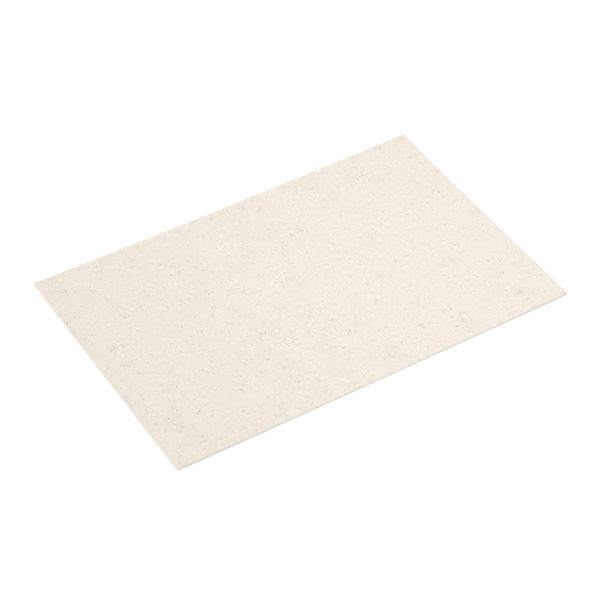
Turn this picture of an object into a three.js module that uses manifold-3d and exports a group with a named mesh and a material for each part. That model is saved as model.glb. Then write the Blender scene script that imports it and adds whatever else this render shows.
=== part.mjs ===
// A flat desk pad: a thick wool felt face, bonded over its whole area to a thin latex grip backing.
// All three layers are laminated first and then die-cut together, so they share one outline.
// Millimetres, +Z up. X runs along the long side and Y from the front edge to the back edge.
// The origin lies on the desk under the middle of the pad.
import * as THREE from 'three';
import { mergeVertices } from 'three/addons/utils/BufferGeometryUtils.js';
import Module from 'manifold-3d';

// Outline of the cutting die
const padLength = 500;
const padWidth = 330;
const cornerRadius = 1;
const cornerSteps = 3;

// Layers, from the writing surface down to the desk
const feltThickness = 2;
const feltEdgeRound = 0.35;
const feltEdgeSteps = 3;
const filmThickness = 0.1;
const backingThickness = 0.25;

// Grip nubs moulded on the underside of the backing, in staggered rows.
// Odd counts put one nub under the middle of the pad.
const nubHeight = 0.15;
const nubDiameter = 8;
const nubTipDiameter = 6.8;
const nubSides = 12;
const nubColumns = 15;
const nubRows = 11;
const nubEdgeMargin = 16;

// Heights of the faces where one layer ends and the next begins
const backingBottom = nubHeight;
const backingTop = backingBottom + backingThickness;
const filmTop = backingTop + filmThickness;

// Natural ecru felt, milky hot-melt film and pale latex
const feltMaterial = new THREE.MeshStandardMaterial({ color: 0xf1e9de, roughness: 0.95, metalness: 0 });
const filmMaterial = new THREE.MeshStandardMaterial({ color: 0xe9e3d4, roughness: 0.5, metalness: 0 });
const latexMaterial = new THREE.MeshStandardMaterial({ color: 0xe3d8c1, roughness: 0.75, metalness: 0 });

const wasm = await Module();
wasm.setup();

// Solid for cutting and joining, from a closed geometry.
// A revolved profile has triangles without area where it meets its axis, and these are left out.
function toSolid(geometry) {
  geometry.deleteAttribute('normal');
  geometry.deleteAttribute('uv');
  const merged = mergeVertices(geometry);
  const corners = merged.getIndex().array;
  const kept = [];
  for (let first = 0; first < corners.length; first += 3) {
    const triangle = corners.slice(first, first + 3);
    if (new Set(triangle).size === 3) {
      kept.push(...triangle);
    }
  }
  const vertProperties = merged.getAttribute('position').array;
  const triVerts = new Uint32Array(kept);
  return new wasm.Manifold(new wasm.Mesh({ numProp: 3, vertProperties, triVerts }));
}

// Geometry with flat facets, from a finished solid.
function toGeometry(solid) {
  const { vertProperties, triVerts } = solid.getMesh();
  const geometry = new THREE.BufferGeometry();
  geometry.setAttribute('position', new THREE.BufferAttribute(vertProperties, 3));
  geometry.setIndex(new THREE.BufferAttribute(triVerts, 1));
  geometry.computeVertexNormals();
  return geometry;
}

// The die's outline: a rectangle about the origin with small rounded corners.
function dieOutline() {
  const x = padLength / 2 - cornerRadius;
  const y = padWidth / 2 - cornerRadius;
  const quarter = Math.PI / 2;
  const outline = new THREE.Shape();
  outline.absarc(x, y, cornerRadius, 0, quarter);
  outline.absarc(-x, y, cornerRadius, quarter, 2 * quarter);
  outline.absarc(-x, -y, cornerRadius, 2 * quarter, 3 * quarter);
  outline.absarc(x, -y, cornerRadius, 3 * quarter, 4 * quarter);
  outline.closePath();
  return outline;
}

// A square-edged layer of the die's outline that stands on z = 0.
function dieCutLayer(thickness) {
  return new THREE.ExtrudeGeometry(dieOutline(), {
    depth: thickness,
    bevelEnabled: false,
    curveSegments: cornerSteps,
  });
}

// The felt face. The die presses its upper edge into a soft round, and the bonded edge below stays square.
// The extrusion rounds both edges, so it starts lower by one round and is cut flat at z = 0.
function feltFace() {
  const round = Math.min(feltEdgeRound, feltThickness / 2);
  const rounded = new THREE.ExtrudeGeometry(dieOutline(), {
    depth: feltThickness - round,
    bevelEnabled: true,
    bevelThickness: round,
    bevelSize: round,
    bevelOffset: -round,
    bevelSegments: feltEdgeSteps,
    curveSegments: cornerSteps,
  });
  const room = new THREE.BoxGeometry(2 * padLength, 2 * padWidth, 2 * feltThickness);
  room.translate(0, 0, feltThickness);
  return toGeometry(toSolid(rounded).intersect(toSolid(room)));
}

// Centres of the grip nubs. Every second row is shifted by half a step and has one nub fewer.
function nubCentres() {
  const stepX = (padLength - 2 * nubEdgeMargin) / (nubColumns - 1);
  const stepY = (padWidth - 2 * nubEdgeMargin) / (nubRows - 1);
  const centres = [];
  for (let row = 0; row < nubRows; row += 1) {
    const count = nubColumns - (row % 2);
    for (let column = 0; column < count; column += 1) {
      const x = (column - (count - 1) / 2) * stepX;
      const y = (row - (nubRows - 1) / 2) * stepY;
      centres.push(new THREE.Vector2(x, y));
    }
  }
  return centres;
}

// One nub: a low round stud with a flat tip on the desk and sloping sides up to the sheet.
// Its root runs on into the middle of the sheet, where the two are joined.
function nub(centre) {
  const rootTop = backingBottom + backingThickness / 2;
  const profile = [
    new THREE.Vector2(0, 0),
    new THREE.Vector2(nubTipDiameter / 2, 0),
    new THREE.Vector2(nubDiameter / 2, backingBottom),
    new THREE.Vector2(nubDiameter / 2, rootTop),
    new THREE.Vector2(0, rootTop),
  ];
  const stud = new THREE.LatheGeometry(profile, nubSides);
  stud.rotateX(Math.PI / 2);
  stud.translate(centre.x, centre.y, 0);
  return toSolid(stud);
}

// The grip backing: a latex sheet with its nubs moulded on.
function gripBacking() {
  const sheet = dieCutLayer(backingThickness);
  sheet.translate(0, 0, backingBottom);
  const nubs = nubCentres().map(nub);
  return toGeometry(wasm.Manifold.union([toSolid(sheet), ...nubs]));
}

// A named piece of the pad, standing at the given height.
function piece(name, geometry, material, height) {
  const mesh = new THREE.Mesh(geometry, material);
  mesh.name = name;
  mesh.position.z = height;
  return mesh;
}

const deskPad = new THREE.Group();
deskPad.add(
  piece('felt_face', feltFace(), feltMaterial, filmTop),
  piece('bonding_film', dieCutLayer(filmThickness), filmMaterial, backingTop),
  piece('grip_backing', gripBacking(), latexMaterial, 0),
);

export default deskPad;
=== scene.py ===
# A felt desk pad on a white table: flecked wool felt, its bonding film and the nubbed latex backing.
# Metres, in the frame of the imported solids. X runs along the long side, Y from front to back, Z up.
import math

import bpy
import numpy as np
from mathutils import Matrix, Vector, noise


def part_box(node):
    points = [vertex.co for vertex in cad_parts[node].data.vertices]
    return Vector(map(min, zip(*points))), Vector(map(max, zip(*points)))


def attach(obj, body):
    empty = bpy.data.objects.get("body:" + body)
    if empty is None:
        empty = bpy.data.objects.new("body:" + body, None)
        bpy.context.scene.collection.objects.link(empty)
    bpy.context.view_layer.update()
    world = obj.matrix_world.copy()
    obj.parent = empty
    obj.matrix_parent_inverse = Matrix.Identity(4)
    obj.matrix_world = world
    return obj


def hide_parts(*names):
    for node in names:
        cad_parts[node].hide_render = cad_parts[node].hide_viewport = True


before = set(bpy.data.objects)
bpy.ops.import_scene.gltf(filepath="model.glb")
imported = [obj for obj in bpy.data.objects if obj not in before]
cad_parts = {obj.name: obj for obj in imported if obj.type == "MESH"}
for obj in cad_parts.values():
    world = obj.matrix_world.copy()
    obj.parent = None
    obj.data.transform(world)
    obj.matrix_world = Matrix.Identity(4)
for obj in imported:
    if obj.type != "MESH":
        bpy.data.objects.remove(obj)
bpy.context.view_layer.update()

MM = 0.001
SEED = 20

# The pad's outline and layers, as the solids have them
felt_low, felt_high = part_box("felt_face")
film_low, film_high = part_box("bonding_film")
_, backing_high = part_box("grip_backing")
PAD_LENGTH = felt_high.x - felt_low.x
PAD_WIDTH = felt_high.y - felt_low.y
HALF_LENGTH = PAD_LENGTH / 2
HALF_WIDTH = PAD_WIDTH / 2
CORNER_RADIUS = 1.0 * MM
FELT_EDGE_ROUND = 0.35 * MM

# Grip nubs of the backing: staggered rows, one nub under the middle
NUB_HEIGHT = 0.15 * MM
NUB_DIAMETER = 8.0 * MM
NUB_TIP_DIAMETER = 6.8 * MM
NUB_COLUMNS = 15
NUB_ROWS = 11
NUB_EDGE_MARGIN = 16.0 * MM

# Curl of the laminate's corners: how far from a corner it begins,
# and how far each corner stands up off the table, by the signs of its x and y
CURL_REACH = 200 * MM
CORNER_CURL = {(-1, 1): 1.6 * MM, (1, 1): 2.1 * MM, (1, -1): 1.4 * MM, (-1, -1): 1.7 * MM}

# Unevenness of the felt's face, broad waves and finer lumps: height, size and slice of the noise
RELIEF = ((0.05 * MM, 28 * MM, 0.5), (0.03 * MM, 7 * MM, 7.5))

# Loose clusters in which neps, flecks, hairs and fibres come out of the carding:
# their size and slice of the noise, and how the chance of one follows the noise
CLUSTER_SIZE = 6.5 * MM
CLUSTER_SLICE = 3.5
CLUSTER_BASE = 0.05
CLUSTER_SLOPE = 2.6
LEAST_CHANCE = 0.01

# The photograph's camera: a long lens from the front left, in degrees, metres and pixels
PHOTO_PIXELS = 600
FOCAL_PIXELS = 2119.9
SENSOR_WIDTH_MM = 36.0
CAMERA_YAW = -31.588
CAMERA_PITCH = 43.498
CAMERA_ROLL = -0.277
CAMERA_DISTANCE = 2.3778
CAMERA_ASIDE = 0.00002
CAMERA_ABOVE = 0.01097


# Shape of the sheet

def lift(x, y):
    """How far the laminate stands off the table at a place, through the curl of its corners."""
    total = np.zeros_like(x)
    for (side_x, side_y), height in CORNER_CURL.items():
        away = np.hypot(x - side_x * HALF_LENGTH, y - side_y * HALF_WIDTH)
        total += height * np.clip(1 - away / CURL_REACH, 0, 1) ** 2
    return total


def lumps(x, y, size, level):
    """Smooth noise at each place, about 0, with lumps of this size. level is the slice of the noise."""
    return np.array([noise.noise((px / size, py / size, level)) for px, py in zip(x, y)])


def relief(x, y):
    """Slight unevenness of pressed felt: broad waves with finer lumps on them."""
    return sum(height * lumps(x, y, size, level) for height, size, level in RELIEF)


def cluster_chance(x, y):
    """How likely neps and fibres are at each place: up to 1 in the clusters, next to none between them."""
    level = lumps(x, y, CLUSTER_SIZE, CLUSTER_SLICE)
    return np.clip(CLUSTER_BASE + CLUSTER_SLOPE * level, LEAST_CHANCE, 1)


def lines_across(half, step, edge_lines):
    """Grid lines from edge to edge: close to the edges at the given distances, and even between."""
    inner = half - edge_lines[-1]
    count = round(2 * inner / step)
    middle = np.linspace(-inner, inner, count + 1)
    left = np.array(edge_lines[:-1]) - half
    return np.concatenate([left, middle, -left[::-1]])


def round_corners(x, y):
    """Moves grid points in the four corner squares so that the outline follows the die's radius."""
    over_x = (np.abs(x) - (HALF_LENGTH - CORNER_RADIUS)) / CORNER_RADIUS
    over_y = (np.abs(y) - (HALF_WIDTH - CORNER_RADIUS)) / CORNER_RADIUS
    corner = (over_x > 0) & (over_y > 0)
    u, v = over_x[corner], over_y[corner]
    x, y = x.copy(), y.copy()
    x[corner] = np.sign(x[corner]) * (HALF_LENGTH - CORNER_RADIUS * (1 - u * np.sqrt(1 - v * v / 2)))
    y[corner] = np.sign(y[corner]) * (HALF_WIDTH - CORNER_RADIUS * (1 - v * np.sqrt(1 - u * u / 2)))
    return x, y


def rim_order(nx, ny):
    """Grid indices round the rim, anticlockwise from above."""
    front = [i * ny for i in range(nx - 1)]
    right = [(nx - 1) * ny + j for j in range(ny - 1)]
    back = [i * ny + ny - 1 for i in range(nx - 1, 0, -1)]
    left = list(range(ny - 1, 0, -1))
    return np.array(front + right + back + left)


def grid_quads(nx, ny, first, upward):
    """Quads of a grid of points, facing up or down."""
    i, j = np.meshgrid(np.arange(nx - 1), np.arange(ny - 1), indexing="ij")
    a = (first + i * ny + j).ravel()
    quads = np.stack([a, a + ny, a + ny + 1, a + 1], axis=1)
    return quads if upward else quads[:, ::-1]


def wall_quads(upper, lower):
    """Quads of a wall between two closed rims that run anticlockwise from above."""
    return np.stack([lower, np.roll(lower, -1), np.roll(upper, -1), upper], axis=1)


# Parts of a layer
TOP, WALL, BASE = 0, 1, 2


def layer(xs, ys, base, top_at, wall_levels):
    """Points, quads and the part of each quad of one closed layer of the laminate, before it curls."""
    nx, ny = len(xs), len(ys)
    grid_x, grid_y = (g.ravel() for g in np.meshgrid(xs, ys, indexing="ij"))
    x, y = round_corners(grid_x, grid_y)
    points = [np.stack([x, y, top_at(grid_x, grid_y)], axis=1)]
    points.append(np.stack([x, y, np.full_like(x, base)], axis=1))
    quads = [grid_quads(nx, ny, 0, True), grid_quads(nx, ny, nx * ny, False)]
    parts = [np.full(len(quads[0]), TOP), np.full(len(quads[1]), BASE)]
    rim = rim_order(nx, ny)
    upper, used = rim, 2 * nx * ny
    for share in wall_levels:
        ring = points[0][rim].copy()
        ring[:, 2] += (base - ring[:, 2]) * share
        points.append(ring)
        lower = used + np.arange(len(rim))
        quads.append(wall_quads(upper, lower))
        upper, used = lower, used + len(rim)
    quads.append(wall_quads(upper, rim + nx * ny))
    parts += [np.full(len(q), WALL) for q in quads[2:]]
    return np.concatenate(points), np.concatenate(quads), np.concatenate(parts)


def curled(points):
    """The points, raised by the curl of the corners."""
    points = points.copy()
    points[:, 2] += lift(points[:, 0], points[:, 1])
    return points


def make_piece(name, points, faces, materials, parts=None):
    """A smooth-shaded mesh object that rides on the pad. parts gives the material of each face."""
    mesh = bpy.data.meshes.new(name)
    mesh.from_pydata(points.tolist(), [], [list(f) for f in faces])
    for material in materials:
        mesh.materials.append(material)
    if parts is not None:
        mesh.polygons.foreach_set("material_index", np.asarray(parts, dtype=np.int32))
    mesh.polygons.foreach_set("use_smooth", np.ones(len(mesh.polygons), dtype=bool))
    mesh.update()
    piece = bpy.data.objects.new(name, mesh)
    bpy.context.scene.collection.objects.link(piece)
    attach(piece, "root")
    return piece


RIM_ANGLE = math.radians(45)


def crease_rims(piece):
    """Keeps the shading of a sheet's wall apart from that of its underside."""
    piece.data.set_sharp_from_angle(angle=RIM_ANGLE)


def set_values(piece, name, values):
    """Gives each point of a piece a value that materials read by its name."""
    made = piece.data.attributes.new(name, "FLOAT", "POINT")
    made.data.foreach_set("value", values)


def lay_out(piece, places):
    """Gives a piece the map on which it carries its colours out of Blender, a place for each corner."""
    layout = piece.data.uv_layers.new(name="OFBake")
    layout.uv.foreach_set("vector", np.concatenate([p.reshape(-1) for p in places]).astype(np.float32))


# Material nodes

# Sockets of a Mix node: the share, the two colours, and the mixed colour that comes out
MIX_SHARE, MIX_FIRST, MIX_SECOND, MIX_RESULT = 0, 6, 7, 2


def fill(tree, node, inputs):
    """Sets a node's inputs to values, or links them to sockets."""
    for name, value in inputs.items():
        if isinstance(value, bpy.types.NodeSocket):
            tree.links.new(value, node.inputs[name])
        else:
            node.inputs[name].default_value = value


def add(tree, kind, inputs, **settings):
    """A new node with its settings and inputs."""
    made = tree.nodes.new(kind)
    for name, value in settings.items():
        setattr(made, name, value)
    fill(tree, made, inputs)
    return made


def maths(tree, operation, *values):
    """The output of a Math node on numbers or sockets."""
    return add(tree, "ShaderNodeMath", dict(enumerate(values)), operation=operation).outputs[0]


def vector_maths(tree, operation, inputs):
    """The output of a Vector Math node."""
    return add(tree, "ShaderNodeVectorMath", inputs, operation=operation).outputs[0]


def span(tree, value, low, high, to_low, to_high, smooth=False):
    """A value mapped from one range to another, clamped to it."""
    inputs = {"Value": value, "From Min": low, "From Max": high, "To Min": to_low, "To Max": to_high}
    kind = "SMOOTHSTEP" if smooth else "LINEAR"
    return add(tree, "ShaderNodeMapRange", inputs, interpolation_type=kind).outputs["Result"]


def blend(tree, share, first, second):
    """Two colours mixed by a share."""
    inputs = {MIX_SHARE: share, MIX_FIRST: first, MIX_SECOND: second}
    return add(tree, "ShaderNodeMix", inputs, data_type="RGBA").outputs[MIX_RESULT]


def bump(tree, height, strength, depth):
    """A normal that shows a height from 0 to 1 as relief of this depth."""
    inputs = {"Strength": strength, "Distance": depth, "Height": height}
    return add(tree, "ShaderNodeBump", inputs).outputs[0]


def attribute(tree, name):
    """A value that the points of the piece carry."""
    return add(tree, "ShaderNodeAttribute", {}, attribute_name=name).outputs["Fac"]


def srgb(red, green, blue):
    """A colour given as on screen, from 0 to 255, in the linear values that shaders take."""
    linear = [((c / 255 + 0.055) / 1.055) ** 2.4 for c in (red, green, blue)]
    return (*linear, 1.0)


def new_material(name):
    """A material with an empty tree but for its shader. Returns the material, its tree and the shader."""
    material = bpy.data.materials.new(name)
    material.use_nodes = True
    tree = material.node_tree
    tree.nodes.clear()
    shader = tree.nodes.new("ShaderNodeBsdfPrincipled")
    output = tree.nodes.new("ShaderNodeOutputMaterial")
    tree.links.new(shader.outputs[0], output.inputs["Surface"])
    return material, tree, shader


def millimetres(tree):
    """Position on the object in millimetres."""
    place = add(tree, "ShaderNodeTexCoord", {}).outputs["Object"]
    return vector_maths(tree, "SCALE", {0: place, "Scale": 1 / MM})


def cloud(tree, place, size, detail=2.0, roughness=0.5):
    """Soft noise from 0 to 1 with lumps of about this size in millimetres."""
    inputs = {"Vector": place, "Scale": 1 / size, "Detail": detail, "Roughness": roughness}
    return add(tree, "ShaderNodeTexNoise", inputs).outputs[0]


def spread(tree, level, low, high, reach=0.2):
    """Soft noise spread between two values. reach is how far from its middle the noise is followed."""
    return span(tree, level, 0.5 - reach, 0.5 + reach, low, high)


def cells(tree, place, size):
    """Flat cells of about this size in millimetres, as the outputs of a Voronoi node."""
    inputs = {"Vector": place, "Scale": 1 / size}
    return add(tree, "ShaderNodeTexVoronoi", inputs, voronoi_dimensions="2D").outputs


def chances(tree, cell):
    """Three numbers from 0 to 1, drawn for each cell."""
    return add(tree, "ShaderNodeSeparateColor", {0: cell["Color"]}).outputs


def fibre_web(tree, place, angle, along, across, thickness):
    """A mask of fine curly fibres that mostly run at an angle: the level lines of a drawn-out noise.
    along, across and thickness are in millimetres."""
    drawn_out = {"Vector": place, "Rotation": (0, 0, math.radians(angle)), "Scale": (along, across, 1)}
    turned = add(tree, "ShaderNodeMapping", drawn_out, vector_type="TEXTURE").outputs[0]
    inputs = {"Vector": turned, "Scale": 1.0, "Detail": 1.0, "Distortion": 0.4}
    level = add(tree, "ShaderNodeTexNoise", inputs).outputs[0]
    away = maths(tree, "ABSOLUTE", maths(tree, "SUBTRACT", level, 0.5))
    return span(tree, away, 0, thickness / across, 1, 0, smooth=True)


def draw_webs(tree, colour, webs, tints, strength):
    """A colour with webs of fibre drawn on it."""
    for web, tint in zip(webs, tints):
        colour = blend(tree, maths(tree, "MULTIPLY", web, strength), colour, tint)
    return colour


# How high a web of fibre stands in the relief, as a share of its depth
WEB_RISE = 0.4


def raise_webs(tree, height, webs):
    """A height with webs of fibre raised on it."""
    for web in webs:
        height = maths(tree, "ADD", height, maths(tree, "MULTIPLY", web, WEB_RISE))
    return height


# Pale neps: the cells that hold one at most and the largest nep, in millimetres,
# and the share of the cells that hold one in the middle of a cluster
NEP_CELL = 3.6
NEP_SIZE = 2.8
NEP_SHARE = 0.75

# Their outlines, as shares of the largest nep: how far the smallest and the largest one reach,
# the size of the lumps that the outlines follow, and how far these move them
NEP_REACH = (0.4, 0.6)
NEP_LUMPS = 0.5
NEP_DRIFT = 2.0

# Their frayed rims: the size of the fraying in millimetres, then its depth
# and the place from where the rim fades, as shares of the reach
NEP_FRAY_SIZE = 0.3
NEP_FRAY = 0.4
NEP_FADE_FROM = 0.5


def nep_mask(tree, place, share):
    """A mask of small tufts with frayed outlines, at most one to a cell."""
    drift = {"Vector": place, "Scale": 1 / (NEP_LUMPS * NEP_SIZE), "Detail": 3.0}
    aside = add(tree, "ShaderNodeTexNoise", drift).outputs["Color"]
    shift = vector_maths(tree, "SCALE", {0: aside, "Scale": NEP_DRIFT * NEP_SIZE})
    cell = cells(tree, vector_maths(tree, "ADD", {0: place, 1: shift}), NEP_CELL)
    size_draw, share_draw, _ = chances(tree, cell)
    smallest, largest = (reach * NEP_SIZE / NEP_CELL for reach in NEP_REACH)
    reach = span(tree, size_draw, 0, 1, smallest, largest)
    fray = spread(tree, cloud(tree, place, NEP_FRAY_SIZE, detail=3, roughness=0.7), -NEP_FRAY, NEP_FRAY)
    outward = maths(tree, "ADD", maths(tree, "DIVIDE", cell["Distance"], reach), fray)
    inside = span(tree, outward, NEP_FADE_FROM, 1, 1, 0, smooth=True)
    there = maths(tree, "LESS_THAN", share_draw, share)
    return maths(tree, "MULTIPLY", inside, there)


# Fine tan fibres in the felt: the cells that hold one at most, greatest length and width in millimetres,
# share of the cells that hold one, bend, and strength of the colour in the middle of a cluster
TAN_FIBRES = ((3.1, 2.6, 0.2, 0.3, 0.25, 0.6), (6.3, 6.0, 0.16, 0.45, 0.1, 0.65))

# Their outlines: the shortest as a share of the longest, where toward its end a fibre begins to fade,
# and where its sides begin and end to fade, as shares of half its length or width
TAN_SHORTEST = 0.4
TAN_END_FADE = 0.7
TAN_SIDE_FADE = (0.5, 1.5)


def tan_mask(tree, place, size, longest, width, share, bend):
    """A mask of scattered short fibres: at most one to a cell, each turned and bent at random."""
    cell = cells(tree, place, size)
    centre = cell["Position"]
    turn_draw, bend_draw, length_draw = chances(tree, cell)
    white_noise = add(tree, "ShaderNodeTexWhiteNoise", {"Vector": centre}, noise_dimensions="2D")
    offset = vector_maths(tree, "SUBTRACT", {0: place, 1: centre})
    turn = {"Vector": offset, "Angle": maths(tree, "MULTIPLY", turn_draw, math.tau)}
    turned = add(tree, "ShaderNodeVectorRotate", turn, rotation_type="Z_AXIS").outputs[0]
    along, across, _ = add(tree, "ShaderNodeSeparateXYZ", {0: turned}).outputs
    curve = span(tree, bend_draw, 0, 1, -bend, bend)
    bow = maths(tree, "MULTIPLY", maths(tree, "MULTIPLY", along, along), curve)
    beside = maths(tree, "ABSOLUTE", maths(tree, "ADD", across, bow))
    reach = span(tree, length_draw, 0, 1, TAN_SHORTEST * longest / 2, longest / 2)
    ahead = maths(tree, "DIVIDE", maths(tree, "ABSOLUTE", along), reach)
    fade_from, fade_to = (fade * width / 2 for fade in TAN_SIDE_FADE)
    thin = span(tree, beside, fade_from, fade_to, 1, 0, smooth=True)
    short = span(tree, ahead, TAN_END_FADE, 1, 1, 0, smooth=True)
    there = maths(tree, "LESS_THAN", white_noise.outputs["Value"], share)
    return maths(tree, "MULTIPLY", maths(tree, "MULTIPLY", thin, short), there)


# Colours of the wool and its cut edge
ECRU_DEEP = srgb(229, 218, 202)
ECRU_SHADE = srgb(237, 226, 213)
ECRU_PALE = srgb(251, 243, 235)
NEP = srgb(255, 254, 248)
TAN = srgb(176, 150, 116)
CUT_SHADE = srgb(237, 230, 220)
CUT_PALE = srgb(253, 249, 244)
BONDED_SHADE = srgb(214, 203, 184)

# Colours of the film and the latex
FILM_SHADE = srgb(226, 220, 209)
FILM_PALE = srgb(240, 236, 228)
LATEX_SHADE = srgb(222, 213, 197)
LATEX_PALE = srgb(234, 228, 216)
# The pits' darker colour is painted shade in the stipple's hollows
LATEX_PIT_PAINTED_SHADE = srgb(206, 194, 174)
# The nub sides' colours are darker than the tips': painted shade on the nubs' slope
NUB_SIDE_PAINTED_SHADE_DEEP = srgb(201, 184, 151)
NUB_SIDE_PAINTED_SHADE_PALE = srgb(211, 195, 163)
NUB_SHADE = srgb(212, 195, 164)
NUB_PALE = srgb(223, 209, 182)

# Webs of fine fibre, on the felt's face and its cut edge:
# angle in degrees, then length, spacing and thickness in millimetres
FACE_WEBS = ((18, 4.0, 0.9, 0.035), (77, 3.2, 1.0, 0.04), (139, 4.6, 0.8, 0.035), (108, 3.6, 1.1, 0.04))
FACE_WEB_TINTS = (NEP, ECRU_DEEP, NEP, ECRU_DEEP)
FACE_WEB_STRENGTH = 0.38
CUT_WEBS = ((4, 2.4, 0.45, 0.03), (-14, 1.8, 0.5, 0.03), (22, 1.5, 0.55, 0.03))
CUT_WEB_TINTS = (NEP, ECRU_SHADE, NEP)
CUT_WEB_STRENGTH = 0.6

# Unevenness of the face's ground, as shares of the pale wool: a slow drift, clumps and fine grain
FACE_DRIFT = (0.38, 0.62)
FACE_CLUMPS = 0.15
FACE_GRAIN = 0.08

# Depth of the relief that the felt's materials show
FELT_BUMP = 0.15 * MM


def felt_colour(tree, place, webs):
    """Natural wool: an ecru ground, pale neps, webs of paler and darker fibre, and tan fibres."""
    drift = spread(tree, cloud(tree, place, size=45, detail=3), *FACE_DRIFT)
    clumped = cloud(tree, place, size=9, detail=3, roughness=0.6)
    clumps = spread(tree, clumped, -FACE_CLUMPS, FACE_CLUMPS)
    grained = cloud(tree, place, size=1.4, detail=1.5, roughness=0.6)
    grain = spread(tree, grained, -FACE_GRAIN, FACE_GRAIN, reach=0.25)
    paleness = maths(tree, "ADD", maths(tree, "ADD", drift, clumps), grain)
    colour = blend(tree, paleness, ECRU_SHADE, ECRU_PALE)
    clusters = attribute(tree, "clusters")
    neps = nep_mask(tree, place, maths(tree, "MULTIPLY", clusters, NEP_SHARE))
    colour = blend(tree, neps, colour, NEP)
    colour = draw_webs(tree, colour, webs, FACE_WEB_TINTS, FACE_WEB_STRENGTH)
    for *fibre, strength in TAN_FIBRES:
        mask = maths(tree, "MULTIPLY", tan_mask(tree, place, *fibre), clusters)
        colour = blend(tree, maths(tree, "MULTIPLY", mask, strength), colour, TAN)
    return colour


def felt_material():
    """The felt's face."""
    material, tree, shader = new_material("wool_felt")
    place = millimetres(tree)
    webs = [fibre_web(tree, place, *web) for web in FACE_WEBS]
    height = raise_webs(tree, cloud(tree, place, size=0.7, detail=3), webs)
    fill(tree, shader, {
        "Base Color": felt_colour(tree, place, webs),
        "Normal": bump(tree, height, strength=0.6, depth=FELT_BUMP),
        "Roughness": spread(tree, cloud(tree, place, size=2, detail=3), 0.86, 1.0),
        "Specular IOR Level": 0.15,
        "Sheen Weight": 0.12,
        "Sheen Roughness": 0.5,
    })
    return material


# How much the layers of the cut edge are drawn together along the wall and up it,
# the peaks of the noise that show as tan specks there, and the strength of the specks
CUT_FLATTENING = (0.6, 3.0, 1.0)
CUT_SPECK_PEAKS = (0.7, 0.78)
CUT_SPECK_STRENGTH = 0.5


def felt_edge_material():
    """The felt's cut edge, where the die shows the layers of matted fibre.
    Each wall of the pad lies along X or along Y, so their sum runs along all of them."""
    material, tree, shader = new_material("wool_felt_cut_edge")
    x, y, z = add(tree, "ShaderNodeSeparateXYZ", {0: millimetres(tree)}).outputs
    place = add(tree, "ShaderNodeCombineXYZ", {0: maths(tree, "ADD", x, y), 1: z}).outputs[0]
    flattened = vector_maths(tree, "MULTIPLY", {0: place, 1: CUT_FLATTENING})
    layers = cloud(tree, flattened, size=1.0, detail=4, roughness=0.65)
    webs = [fibre_web(tree, place, *web) for web in CUT_WEBS]
    colour = blend(tree, spread(tree, layers, 0, 1), CUT_SHADE, CUT_PALE)
    colour = draw_webs(tree, colour, webs, CUT_WEB_TINTS, CUT_WEB_STRENGTH)
    specks = span(tree, cloud(tree, place, size=0.6, detail=1), *CUT_SPECK_PEAKS, 0, CUT_SPECK_STRENGTH)
    fill(tree, shader, {
        "Base Color": blend(tree, specks, colour, TAN),
        "Normal": bump(tree, raise_webs(tree, layers, webs), strength=0.8, depth=FELT_BUMP),
        "Roughness": spread(tree, layers, 0.9, 1.0),
        "Specular IOR Level": 0.1,
        "Sheen Weight": 0.1,
    })
    return material


def felt_bonded_material():
    """The felt's underside, matted down and dulled by the adhesive."""
    material, tree, shader = new_material("wool_felt_bonded")
    dry = spread(tree, cloud(tree, millimetres(tree), size=4, detail=4, roughness=0.6), 0, 1, reach=0.15)
    fill(tree, shader, {
        "Base Color": blend(tree, dry, BONDED_SHADE, ECRU_SHADE),
        "Roughness": span(tree, dry, 0, 1, 0.5, 0.9),
    })
    return material


# Tones of the strands, from dark brown to white
STRAND_TONES = (
    (0.0, srgb(92, 70, 48)),
    (0.25, srgb(140, 112, 80)),
    (0.55, srgb(184, 156, 118)),
    (0.8, srgb(222, 205, 178)),
    (1.0, srgb(250, 246, 238)),
)


def strand_material(name, roughness):
    """Wool hairs and bits of straw, with tones along them from dark brown to white."""
    material, tree, shader = new_material(name)
    ramp = add(tree, "ShaderNodeValToRGB", {"Fac": attribute(tree, "tone")})
    stops = ramp.color_ramp.elements
    for place, _ in STRAND_TONES[1:-1]:
        stops.new(place)
    for stop, (place, colour) in zip(stops, STRAND_TONES):
        stop.position = place
        stop.color = colour
    fill(tree, shader, {
        "Base Color": ramp.outputs["Color"],
        "Roughness": roughness,
        "Specular IOR Level": 0.25,
    })
    return material


def film_material():
    """Milky hot-melt film."""
    material, tree, shader = new_material("hot_melt_film")
    milk = spread(tree, cloud(tree, millimetres(tree), size=3, detail=3), 0, 1)
    fill(tree, shader, {
        "Base Color": blend(tree, milk, FILM_SHADE, FILM_PALE),
        "Roughness": span(tree, milk, 0, 1, 0.4, 0.55),
    })
    return material


# Stipple of the latex: the size of its pits in millimetres, their depth,
# how far from a pit's middle its painted shade begins and ends to fade, in pits, and its strength
STIPPLE_SIZE = 0.8
STIPPLE_DEPTH = 0.08 * MM
STIPPLE_FADE = (0.1, 0.5)
STIPPLE_STRENGTH = 0.25

# Finer lumps between the pits: their size in millimetres and their height as a share of the depth
FINE_STIPPLE_SIZE = 0.4
FINE_STIPPLE_HEIGHT = 0.4


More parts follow.
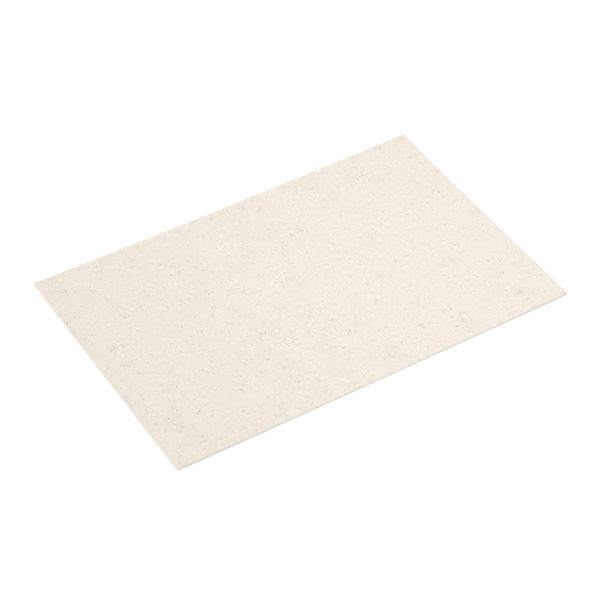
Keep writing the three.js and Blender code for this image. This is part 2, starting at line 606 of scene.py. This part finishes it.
def latex_material():
    """Pale natural latex with a fine moulded stipple, its pits coloured darker as painted shade in their
    hollows.
    """
    material, tree, shader = new_material("natural_latex")
    place = millimetres(tree)
    uneven = spread(tree, cloud(tree, place, size=30, detail=4, roughness=0.6), 0, 1)
    stipple = {"Vector": place, "Scale": 1 / STIPPLE_SIZE}
    pits = add(tree, "ShaderNodeTexVoronoi", stipple).outputs["Distance"]
    # Darker towards each pit's middle: painted shade in the hollows of the stipple
    pit_painted_shade = span(tree, pits, *STIPPLE_FADE, STIPPLE_STRENGTH, 0)
    fine = maths(tree, "MULTIPLY", cloud(tree, place, FINE_STIPPLE_SIZE), FINE_STIPPLE_HEIGHT)
    fill(tree, shader, {
        "Base Color": blend(tree, pit_painted_shade, blend(tree, uneven, LATEX_SHADE, LATEX_PALE), LATEX_PIT_PAINTED_SHADE),
        "Normal": bump(tree, maths(tree, "ADD", pits, fine), strength=0.5, depth=STIPPLE_DEPTH),
        "Roughness": span(tree, pits, 0, 0.6, 0.62, 0.8),
        "Specular IOR Level": 0.4,
    })
    return material


def nub_material(name, shade, pale):
    """The thicker latex of the nubs, smooth and a little more amber than the sheet.
    For the nub sides the caller gives darker colours: painted shade on the slope.
    """
    material, tree, shader = new_material(name)
    uneven = spread(tree, cloud(tree, millimetres(tree), size=2.5, detail=3), 0, 1)
    fill(tree, shader, {
        "Base Color": blend(tree, uneven, shade, pale),
        "Roughness": span(tree, uneven, 0, 1, 0.38, 0.5),
    })
    return material


# Felt sheet

# The felt's grid: its usual step, the distances of the lines near an edge,
# and the rings down its wall, as shares of the wall's height
FELT_STEP = 2.3 * MM
FELT_EDGE_LINES = (0.0, 0.1 * MM, 0.22 * MM, FELT_EDGE_ROUND, 0.65 * MM, CORNER_RADIUS, 1.9 * MM)
FELT_WALL_LEVELS = (0.25, 0.5, 0.75)

# Bands of the felt's map: the bonded underside, the four cut edges, and the face over the rest.
# The gap below the edges is a share of an edge's band
BONDED_BAND = 0.028
EDGE_BAND = 0.017
EDGE_GAP = 0.2
FACE_FROM = 0.1


def felt_top(x, y):
    """Height of the felt's face: uneven inside, rounded off at the cut edge."""
    inset = np.minimum(HALF_LENGTH - np.abs(x), HALF_WIDTH - np.abs(y))
    short = np.clip(FELT_EDGE_ROUND - inset, 0, None)
    drop = FELT_EDGE_ROUND - np.sqrt(FELT_EDGE_ROUND**2 - short**2)
    return felt_high.z + relief(x, y) - drop


def felt_layout(points, quads, parts):
    """Places of the felt on its map, with a band of its own for each cut edge."""
    corners = points[quads]
    x = corners[:, :, 0] / PAD_LENGTH + 0.5
    y = corners[:, :, 1] / PAD_WIDTH + 0.5
    level = (corners[:, :, 2] - felt_low.z) / (felt_high.z - felt_low.z)
    middle = corners.mean(axis=1)
    at_end = HALF_LENGTH - np.abs(middle[:, 0]) < HALF_WIDTH - np.abs(middle[:, 1])
    edge = 2 * at_end + (np.where(at_end, middle[:, 0], middle[:, 1]) > 0)
    u = np.where((at_end & (parts == WALL))[:, None], y, x)
    face = FACE_FROM + (1 - FACE_FROM) * y
    wall = BONDED_BAND + EDGE_BAND * (EDGE_GAP + edge[:, None] + level)
    v = np.choose(parts[:, None], (face, wall, BONDED_BAND * y))
    return [np.stack([u, v], axis=2)]


def felt_sheet():
    """The felt face, a sheet with a soft upper edge."""
    xs = lines_across(HALF_LENGTH, FELT_STEP, FELT_EDGE_LINES)
    ys = lines_across(HALF_WIDTH, FELT_STEP, FELT_EDGE_LINES)
    points, quads, parts = layer(xs, ys, felt_low.z, felt_top, FELT_WALL_LEVELS)
    materials = [felt_material(), felt_edge_material(), felt_bonded_material()]
    piece = make_piece("felt_sheet", curled(points), quads, materials, parts)
    crease_rims(piece)
    set_values(piece, "clusters", cluster_chance(points[:, 0], points[:, 1]))
    lay_out(piece, felt_layout(points, quads, parts))
    return piece


# Strands of the felt

# How much thinner a strand is at its ends, and how sharply it thins toward them
TAPER = 0.7
TAPER_POWER = 3

# How much a strand's tone varies along it, and how much its heading wanders at each step, in radians
TONE_VARIATION = 0.04
HEADING_WANDER = 0.12

# How far strands on the face stay from its rims, and how many places are tried for each one
STRAND_INSET = 0.5 * MM
TRIES = 10

# The strands' map: the width and length that a strand takes on it, the margin before the darkest tone,
# the share of the map that the tones and the starts cover, and the step from one start to the next
STRAND_MAP_WIDTH = 0.004
STRAND_MAP_LENGTH = 0.02
STRAND_MAP_MARGIN = 0.01
STRAND_MAP_SHARE = 0.97
STRAND_MAP_STEP = 0.618


def tubes(paths, widths, heights, sides):
    """Closed tubes along paths, each flattened to its width and height and drawn in at its ends.
    paths is strands by points by 3. Returns the points and the faces."""
    count, steps = paths.shape[:2]
    along = np.gradient(paths, axis=1)
    along /= np.linalg.norm(along, axis=2, keepdims=True)
    aside = np.cross((0.0, 0.0, 1.0), along)
    aside /= np.linalg.norm(aside, axis=2, keepdims=True)
    above = np.cross(along, aside)
    taper = 1 - TAPER * np.abs(np.linspace(-1, 1, steps)) ** TAPER_POWER
    turn = math.tau * (np.arange(sides) + 0.5) / sides
    across = np.cos(turn)[None, None, :, None] * aside[:, :, None] * widths[:, None, None, None] / 2
    upward = np.sin(turn)[None, None, :, None] * above[:, :, None] * heights[:, None, None, None] / 2
    points = paths[:, :, None] + (across + upward) * taper[None, :, None, None]
    ring = np.arange(sides)
    ahead = np.roll(ring, -1)
    first = (np.arange(count) * steps * sides)[:, None, None]
    lower = first + (np.arange(steps - 1) * sides)[None, :, None]
    walls = np.stack([lower + ring, lower + ahead, lower + sides + ahead, lower + sides + ring], axis=3)
    ends = first[:, 0] + ring[::-1], first[:, 0] + (steps - 1) * sides + ring
    faces = walls.reshape(-1, 4).tolist() + np.concatenate(ends).tolist()
    return points.reshape(-1, 3), faces


def strand_layout(tones, sides):
    """Places of strands on their map. The tone sets how far across the map each end of a face lies,
    so it doesn't matter that many strands share the map and lie over each other."""
    count, steps = tones.shape
    across = STRAND_MAP_MARGIN + STRAND_MAP_SHARE * tones
    start = (np.arange(count) * STRAND_MAP_STEP % 1 * STRAND_MAP_SHARE)[:, None, None, None]
    far_end, far_side = np.array([0, 0, 1, 1]), np.array([0, 1, 1, 0])
    step = np.arange(steps - 1)[None, :, None, None] + far_end
    side = np.arange(sides)[None, None, :, None] + far_side
    tone = np.where(far_end, across[:, 1:, None, None], across[:, :-1, None, None])
    u = tone + STRAND_MAP_WIDTH * side / sides
    v = start + STRAND_MAP_LENGTH * step / (steps - 1)
    walls = np.stack(np.broadcast_arrays(u, v), axis=-1)
    turn = math.tau * np.arange(sides) / sides
    circle = (np.stack([np.cos(turn), np.sin(turn)], axis=1) + 1) * STRAND_MAP_WIDTH / 2
    ends = [np.stack([across[:, end], start[:, 0, 0, 0]], axis=1)[:, None] + circle for end in (0, -1)]
    return [walls, *ends]


def make_strands(name, rng, paths, widths, heights, tones, sides, roughness):
    """A piece of many strands, each with its own tone that varies a little along it."""
    count, steps = paths.shape[:2]
    tones = np.clip(tones[:, None] + rng.normal(0, TONE_VARIATION, (count, steps)), 0, 1)
    points, faces = tubes(paths, widths, heights, sides)
    piece = make_piece(name, points, faces, [strand_material(name, roughness)])
    set_values(piece, "tone", np.repeat(tones, sides))
    lay_out(piece, strand_layout(tones, sides))
    return piece


def scattered_places(rng, count):
    """Places all over the felt's face, most of them in the clusters."""
    x = rng.uniform(-HALF_LENGTH, HALF_LENGTH, TRIES * count)
    y = rng.uniform(-HALF_WIDTH, HALF_WIDTH, TRIES * count)
    kept = np.argsort(rng.random(TRIES * count) ** (1 / cluster_chance(x, y)))[-count:]
    return x[kept], y[kept]


def lying_paths(rng, lengths, bends, steps, raised, arches=0.0):
    """Paths of strands that lie on the felt's face, at random places and headings, curved by their bends.
    The ends lie as high above the face as raised, and arches is how much higher the middle stands."""
    count = len(lengths)
    share = np.linspace(-0.5, 0.5, steps)
    heading = rng.uniform(0, math.tau, count)[:, None] + bends[:, None] * share
    heading += np.cumsum(rng.normal(0, HEADING_WANDER, (count, steps)), axis=1)
    step = lengths[:, None] / (steps - 1)
    x = np.cumsum(np.cos(heading) * step, axis=1)
    y = np.cumsum(np.sin(heading) * step, axis=1)
    middle_x, middle_y = scattered_places(rng, count)
    x += middle_x[:, None] - x.mean(axis=1, keepdims=True)
    y += middle_y[:, None] - y.mean(axis=1, keepdims=True)
    x = np.clip(x, STRAND_INSET - HALF_LENGTH, HALF_LENGTH - STRAND_INSET)
    y = np.clip(y, STRAND_INSET - HALF_WIDTH, HALF_WIDTH - STRAND_INSET)
    z = (felt_top(x.ravel(), y.ravel()) + lift(x.ravel(), y.ravel())).reshape(x.shape)
    z += raised[:, None] + np.cos(math.pi * share) * np.reshape(arches, (-1, 1))
    return np.stack([x, y, z], axis=2)


# Flecks: their mean area, widths as shares of the root of the area, shortest and longest, height,
# usual tone with its spread and limits, and bend in radians
FLECK_COUNT = 2950
FLECK_AREA = 0.38 * MM * MM
FLECK_WIDTHS = (0.25, 0.6)
FLECK_LENGTHS = (0.35 * MM, 5 * MM)
FLECK_HEIGHT = 0.07 * MM
FLECK_TONE = 0.25
FLECK_TONE_SPREAD = 0.13
FLECK_TONES = (0.02, 0.7)
FLECK_BEND = 0.7


def felt_flecks():
    """Short bits of coarse hair and straw, pressed into the felt's face."""
    rng = np.random.default_rng(SEED)
    areas = FLECK_AREA * rng.exponential(1.0, FLECK_COUNT)
    widths = np.sqrt(areas) * rng.uniform(*FLECK_WIDTHS, FLECK_COUNT)
    lengths = np.clip(areas / widths, *FLECK_LENGTHS)
    heights = np.full(FLECK_COUNT, FLECK_HEIGHT)
    tones = np.clip(rng.normal(FLECK_TONE, FLECK_TONE_SPREAD, FLECK_COUNT), *FLECK_TONES)
    bends = rng.normal(0, FLECK_BEND, FLECK_COUNT)
    paths = lying_paths(rng, lengths, bends, steps=4, raised=0.2 * heights)
    return make_strands("felt_flecks", rng, paths, widths, heights, tones, sides=4, roughness=0.75)


# Hairs: their usual length with its spread and limits, widths, tones, and bend in radians.
# Lengths and widths are in millimetres, here and for the fibres and the fuzz
HAIR_COUNT = 1300
HAIR_LENGTH = 5.0
HAIR_LENGTH_SPREAD = 0.4
HAIR_LENGTHS = (2, 12)
HAIR_WIDTHS = (0.07, 0.15)
HAIR_TONES = (0.15, 0.6)
HAIR_BEND = 1.5


def felt_hairs():
    """Long tan and brown hairs that lie in loose curves on the felt's face."""
    rng = np.random.default_rng(SEED + 1)
    drawn = rng.lognormal(math.log(HAIR_LENGTH), HAIR_LENGTH_SPREAD, HAIR_COUNT)
    lengths = np.clip(drawn, *HAIR_LENGTHS) * MM
    widths = rng.uniform(*HAIR_WIDTHS, HAIR_COUNT) * MM
    tones = rng.uniform(*HAIR_TONES, HAIR_COUNT)
    bends = rng.normal(0, HAIR_BEND, HAIR_COUNT)
    paths = lying_paths(rng, lengths, bends, steps=8, raised=0.3 * widths)
    return make_strands("felt_hairs", rng, paths, widths, widths, tones, sides=3, roughness=0.6)


# Fibres: as the hairs, and how high they usually arch, with its limits, in millimetres
FIBRE_COUNT = 7500
FIBRE_LENGTH = 4.0
FIBRE_LENGTH_SPREAD = 0.4
FIBRE_LENGTHS = (1.5, 10)
FIBRE_WIDTHS = (0.03, 0.055)
FIBRE_ARCH = 0.12
FIBRE_ARCHES = (0.02, 0.4)
FIBRE_TONES = (0.78, 1.0)
FIBRE_BEND = 2.0


def felt_fibres():
    """Fine pale fibres that stand off the felt's face in low arches."""
    rng = np.random.default_rng(SEED + 3)
    drawn = rng.lognormal(math.log(FIBRE_LENGTH), FIBRE_LENGTH_SPREAD, FIBRE_COUNT)
    lengths = np.clip(drawn, *FIBRE_LENGTHS) * MM
    widths = rng.uniform(*FIBRE_WIDTHS, FIBRE_COUNT) * MM
    arches = np.clip(rng.exponential(FIBRE_ARCH, FIBRE_COUNT), *FIBRE_ARCHES) * MM
    tones = rng.uniform(*FIBRE_TONES, FIBRE_COUNT)
    bends = rng.normal(0, FIBRE_BEND, FIBRE_COUNT)
    paths = lying_paths(rng, lengths, bends, steps=5, raised=0.2 * widths, arches=arches)
    return make_strands("felt_fibres", rng, paths, widths, widths, tones, sides=3, roughness=0.6)


# Fuzz: its usual length with its spread and limits, widths and tones, then how far a fibre end swings
# aside, droops and has its root in the wall, as shares of its length, its clearance off the table
# and the points along it
FUZZ_COUNT = 5000
FUZZ_LENGTH = 0.6
FUZZ_LENGTH_SPREAD = 0.5
FUZZ_LENGTHS = (0.2, 1.8)
FUZZ_WIDTHS = (0.035, 0.07)
FUZZ_TONES = (0.75, 1.0)
FUZZ_SWING = 0.7
FUZZ_DROOP = 0.35
FUZZ_ROOT = 0.1
FUZZ_CLEARANCE = 0.05 * MM
FUZZ_STEPS = 4

# Outward directions of the cut edge, anticlockwise from the front
WALL_NORMALS = ((0, -1), (1, 0), (0, 1), (-1, 0))


def felt_fuzz():
    """Fine fibre ends that stand out of the cut edge."""
    rng = np.random.default_rng(SEED + 2)
    around = 2 * (PAD_LENGTH + PAD_WIDTH)
    place = rng.uniform(0, around, FUZZ_COUNT)
    sides = np.searchsorted(np.cumsum([PAD_LENGTH, PAD_WIDTH, PAD_LENGTH]), place)
    along = rng.uniform(-1, 1, FUZZ_COUNT)
    roots = np.zeros((FUZZ_COUNT, 3))
    outward = np.zeros((FUZZ_COUNT, 3))
    for side, (nx, ny) in enumerate(WALL_NORMALS):
        here = sides == side
        roots[here, 0] = nx * HALF_LENGTH if nx else along[here] * (HALF_LENGTH - CORNER_RADIUS)
        roots[here, 1] = ny * HALF_WIDTH if ny else along[here] * (HALF_WIDTH - CORNER_RADIUS)
        outward[here] = (nx, ny, 0)
    roots[:, 2] = rng.uniform(felt_low.z, felt_high.z - FELT_EDGE_ROUND, FUZZ_COUNT)
    roots[:, 2] += lift(roots[:, 0], roots[:, 1])
    swing = rng.normal(0, FUZZ_SWING, (FUZZ_COUNT, 3))
    heading = outward + swing - outward * np.sum(swing * outward, axis=1, keepdims=True)
    heading /= np.linalg.norm(heading, axis=1, keepdims=True)
    drawn = rng.lognormal(math.log(FUZZ_LENGTH), FUZZ_LENGTH_SPREAD, FUZZ_COUNT)
    lengths = np.clip(drawn, *FUZZ_LENGTHS) * MM
    share = np.linspace(-FUZZ_ROOT, 1, FUZZ_STEPS)[None, :, None]
    droop = rng.normal(0, FUZZ_DROOP, (FUZZ_COUNT, 3))[:, None] * share**2
    paths = roots[:, None] + lengths[:, None, None] * (heading[:, None] * share + droop)
    paths[:, :, 2] = np.maximum(paths[:, :, 2], FUZZ_CLEARANCE)
    widths = rng.uniform(*FUZZ_WIDTHS, FUZZ_COUNT) * MM
    tones = rng.uniform(*FUZZ_TONES, FUZZ_COUNT)
    return make_strands("felt_fuzz", rng, paths, widths, widths, tones, sides=3, roughness=0.6)


# Latex backing

# Lines across the backing: a tile round each nub, two spans wide, with each span in four strips
SPAN_STRIPS = 4
TILE_STRIPS = 2 * SPAN_STRIPS

# Parts of the backing, and the part that leads to each ring of a tile, from its frame in to the nub's tip
SHEET, NUB_SIDE, NUB_TIP = 0, 1, 2
# The rings of a nub's side take the darker nub side colours, painted shade on the slope
RING_PARTS = (SHEET, SHEET, NUB_SIDE, NUB_SIDE, NUB_SIDE, NUB_TIP)

# Section of a nub: how far outside its tip's rim, in widths of its slope,
# and how far above the table, as a share of its height
NUB_SECTION = ((2, 1), (1, 0.93), (0.5, 0.4), (0, 0.06), (-0.5, 0))

# The backing's map: its bonded side in a band, all nubs on one round spot, its underside over the rest,
# and how much the walls flare out round the underside
NUB_SPOT = 0.075
NUB_SPOT_SIZE = 0.07
UNDERSIDE_FROM = 0.13
WALL_FLARE = 0.006


def span_lines(half, count):
    """Lines from edge to edge, four strips to each half step of the nubs and closer at the edges.
    The last line but one is where the corners begin to round."""
    step = (2 * half - 2 * NUB_EDGE_MARGIN) / (count - 1)
    middle = step / 2 * np.linspace(1 - count, count - 1, TILE_STRIPS * (count - 1) + 1)
    toward_edge = NUB_EDGE_MARGIN * (np.arange(1, SPAN_STRIPS + 1) / SPAN_STRIPS) ** 0.5
    toward_edge[-2] = NUB_EDGE_MARGIN - CORNER_RADIUS
    return np.concatenate([middle[0] - toward_edge[::-1], middle, middle[-1] + toward_edge])


def tile_frame():
    """Grid steps round a tile's frame, anticlockwise from above, from the middle of its right side."""
    right = [(TILE_STRIPS, j) for j in range(TILE_STRIPS)]
    back = [(i, TILE_STRIPS) for i in range(TILE_STRIPS, 0, -1)]
    left = [(0, j) for j in range(TILE_STRIPS, 0, -1)]
    front = [(i, 0) for i in range(TILE_STRIPS)]
    return np.array(right[SPAN_STRIPS:] + back + left + front + right[:SPAN_STRIPS])


def nub_rings(centre, frame_points):
    """Rings from a tile's frame in to the tip of its nub. The first lies half way on the flat sheet."""
    count = len(frame_points)
    turn = math.tau * np.arange(count) / count
    circle = np.stack([np.cos(turn), np.sin(turn)], axis=1)
    tip = NUB_TIP_DIAMETER / 2
    slope = NUB_DIAMETER / 2 - tip
    rings = []
    for outward, level in NUB_SECTION:
        flat = centre + circle * (tip + outward * slope)
        rings.append(np.column_stack([flat, np.full(count, level * NUB_HEIGHT)]))
    outer = np.column_stack([frame_points, np.full(count, NUB_HEIGHT)])
    return [(outer + rings[0]) / 2, *rings]


def half_tile_quads(first_x, first_y, ny):
    """Quads of the half tile at an end of a staggered row, facing down."""
    starts = [
        i * ny + j
        for i in range(first_x, first_x + SPAN_STRIPS)
        for j in range(first_y, first_y + TILE_STRIPS)
    ]
    return [[a, a + 1, a + ny + 1, a + ny] for a in starts]


def backing_mesh():
    """Points, the middle of the nub that each belongs to, faces and the part of each face.
    The underside is made of one tile round each nub."""
    xs, ys = span_lines(HALF_LENGTH, NUB_COLUMNS), span_lines(HALF_WIDTH, NUB_ROWS)
    nx, ny = len(xs), len(ys)
    grid_x, grid_y = (g.ravel() for g in np.meshgrid(xs, ys, indexing="ij"))
    x, y = round_corners(grid_x, grid_y)
    under = np.stack([x, y, np.full_like(x, NUB_HEIGHT)], axis=1)
    upper = np.stack([x, y, np.full_like(x, backing_high.z)], axis=1)
    points = [under, upper]
    used = 2 * nx * ny
    middles = [np.zeros((used, 2))]
    rim = rim_order(nx, ny)
    faces = grid_quads(nx, ny, nx * ny, True).tolist() + wall_quads(rim + nx * ny, rim).tolist()
    parts = [SHEET] * len(faces)
    tile = tile_frame()
    for row in range(NUB_ROWS):
        first_y = TILE_STRIPS * row
        staggered = row % 2
        for column in range(NUB_COLUMNS - staggered):
            first_x = TILE_STRIPS * column + SPAN_STRIPS * staggered
            outer = (tile[:, 0] + first_x) * ny + tile[:, 1] + first_y
            centre = np.array([xs[first_x + SPAN_STRIPS], ys[first_y + SPAN_STRIPS]])
            for ring, part in zip(nub_rings(centre, under[outer, :2]), RING_PARTS):
                inner = used + np.arange(len(ring))
                points.append(ring)
                middles.append(np.tile(centre, (len(ring), 1)))
                faces += wall_quads(outer, inner).tolist()
                parts += [part] * len(ring)
                outer, used = inner, used + len(ring)
            faces.append(outer[::-1].tolist())
            parts.append(NUB_TIP)
        if staggered:
            for first_x in (0, nx - 1 - SPAN_STRIPS):
                quads = half_tile_quads(first_x, first_y, ny)
                faces += quads
                parts += [SHEET] * len(quads)
    points, middles = np.concatenate(points), np.concatenate(middles)
    kept = np.unique(np.concatenate(faces))
    number = np.full(len(points), -1)
    number[kept] = np.arange(len(kept))
    faces = [number[face].tolist() for face in faces]
    return points[kept], middles[kept], faces, parts


def backing_layout(points, middles, faces, parts):
    """Places of the backing on its map. All nubs come out of the mould alike, so they share a spot,
    and the walls flare out round the underside. middles gives the middle of each point's nub."""
    corners = np.concatenate(faces)
    counts = np.array([len(face) for face in faces])
    flat, height = points[corners, :2], points[corners, 2]
    lowest = np.minimum.reduceat(height, np.cumsum(counts) - counts)
    bonded = np.repeat(lowest == height.max(), counts)[:, None]
    nub = np.repeat(np.array(parts) != SHEET, counts)[:, None]
    flared = flat * np.where(height > NUB_HEIGHT, 1, 1 - WALL_FLARE)[:, None]
    whole = flared / (PAD_LENGTH, PAD_WIDTH) + 0.5
    underside = whole * (1, 1 - UNDERSIDE_FROM) + (0, UNDERSIDE_FROM)
    spot = NUB_SPOT + NUB_SPOT_SIZE * (flat - middles[corners]) / NUB_DIAMETER
    return [np.where(nub, spot, np.where(bonded, whole * (1, BONDED_BAND), underside))]


def latex_backing():
    """The grip backing: a thin sheet and the nubs under it, all one moulding."""
    points, middles, faces, parts = backing_mesh()
    materials = [
        latex_material(),
        # The nub sides get darker colours than the tips: painted shade on their slope
        nub_material("natural_latex_nub_side_painted_shade", NUB_SIDE_PAINTED_SHADE_DEEP, NUB_SIDE_PAINTED_SHADE_PALE),
        nub_material("natural_latex_nub", NUB_SHADE, NUB_PALE),
    ]
    piece = make_piece("latex_backing", curled(points), faces, materials, parts)
    crease_rims(piece)
    lay_out(piece, backing_layout(points, middles, faces, parts))
    return piece


# Adhesive film

# The film's grid: its usual step and the distances of the lines near an edge
FILM_STEP = 5.0 * MM
FILM_EDGE_LINES = (0.0, 0.4 * MM, CORNER_RADIUS, 3.0 * MM)


def film_sheet():
    """The adhesive film between the felt and the backing."""
    xs = lines_across(HALF_LENGTH, FILM_STEP, FILM_EDGE_LINES)
    ys = lines_across(HALF_WIDTH, FILM_STEP, FILM_EDGE_LINES)
    points, quads, _ = layer(xs, ys, film_low.z, lambda x, y: np.full_like(x, film_high.z), ())
    piece = make_piece("adhesive_film", curled(points), quads, [film_material()])
    crease_rims(piece)
    return piece


# The pad, put together

felt = felt_sheet()
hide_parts("felt_face")
strands = [felt_flecks(), felt_hairs(), felt_fibres(), felt_fuzz()]
film = film_sheet()
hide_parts("bonding_film")
backing = latex_backing()
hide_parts("grip_backing")


# Table, light and camera

WHITE = (1, 1, 1, 1)

# The table top: half its side, how white it is, and how much it is lightened for the camera
TABLE_HALF = 8.0
TABLE_WHITE = (0.91, 0.93)
TABLE_LIGHTENING = 0.42

# Strength of the even light from all round, where the background is 1
ROOM_LIGHT = 0.83

# Soft boxes: place, target and side in metres, and power in watts
SOFT_LIGHTS = {
    "key_light": ((0.14, -0.03, 0.7), (0.14, -0.03, 0), 0.35, 1.06),
    "left_light": ((-2.0, 0.0, 0.16), (0, 0, 0), 0.3, 4.7),
}


def soft_light(name, place, target, side, power):
    """A square soft box at a place, turned to its target."""
    lamp = bpy.data.lights.new(name, "AREA")
    lamp.size = side
    lamp.energy = power
    box = bpy.data.objects.new(name, lamp)
    box.location = place
    box.rotation_mode = "QUATERNION"
    box.rotation_quaternion = (Vector(target) - Vector(place)).to_track_quat("-Z", "Y")
    bpy.context.scene.collection.objects.link(box)


def seen_directly(tree):
    """1 for rays from the camera, straight or by way of a mirror or glass."""
    path = add(tree, "ShaderNodeLightPath", {}).outputs
    mirrored = maths(tree, "MAXIMUM", path["Is Glossy Ray"], path["Is Transmission Ray"])
    return maths(tree, "MAXIMUM", path["Is Camera Ray"], mirrored)


def white_table():
    """A white table top that keeps shadows, lightened for the camera to a plain white ground."""
    mesh = bpy.data.meshes.new("table_top")
    corners = [(x * TABLE_HALF, y * TABLE_HALF, 0) for x, y in ((-1, -1), (1, -1), (1, 1), (-1, 1))]
    mesh.from_pydata(corners, [], [(0, 1, 2, 3)])
    material, tree, shader = new_material("white_table")
    fill(tree, shader, {
        "Base Color": spread(tree, cloud(tree, millimetres(tree), size=300), *TABLE_WHITE),
        "Roughness": 0.8,
        "Specular IOR Level": 0.0,
        "Emission Color": WHITE,
        "Emission Strength": maths(tree, "MULTIPLY", seen_directly(tree), TABLE_LIGHTENING),
    })
    mesh.materials.append(material)
    table = bpy.data.objects.new("table_top", mesh)
    bpy.context.scene.collection.objects.link(table)


def white_room():
    """Even light from all round, on a background that is white to the camera."""
    world = bpy.data.worlds.new("white_room")
    bpy.context.scene.world = world
    world.use_nodes = True
    tree = world.node_tree
    strength = span(tree, seen_directly(tree), 0, 1, ROOM_LIGHT, 1.0)
    fill(tree, tree.nodes["Background"], {"Color": WHITE, "Strength": strength})


def photo_camera():
    """The photograph's viewpoint."""
    yaw, pitch, roll = (math.radians(a) for a in (CAMERA_YAW, CAMERA_PITCH, CAMERA_ROLL))
    back = Vector((math.sin(yaw) * math.cos(pitch), -math.cos(yaw) * math.cos(pitch), math.sin(pitch)))
    level = Vector((math.cos(yaw), math.sin(yaw), 0))
    upright = back.cross(level)
    right = math.cos(roll) * level + math.sin(roll) * upright
    up = math.cos(roll) * upright - math.sin(roll) * level
    lens = bpy.data.cameras.new("photo_camera")
    lens.sensor_width = SENSOR_WIDTH_MM
    lens.lens = FOCAL_PIXELS / PHOTO_PIXELS * SENSOR_WIDTH_MM
    camera = bpy.data.objects.new("photo_camera", lens)
    place = back * CAMERA_DISTANCE - right * CAMERA_ASIDE - up * CAMERA_ABOVE
    turn = Matrix((right, up, back)).transposed().to_4x4()
    camera.matrix_world = Matrix.Translation(place) @ turn
    bpy.context.scene.collection.objects.link(camera)
    bpy.context.scene.camera = camera


white_table()
white_room()
for light_name, settings in SOFT_LIGHTS.items():
    soft_light(light_name, *settings)
photo_camera()
bpy.context.scene.view_settings.view_transform = "Standard"
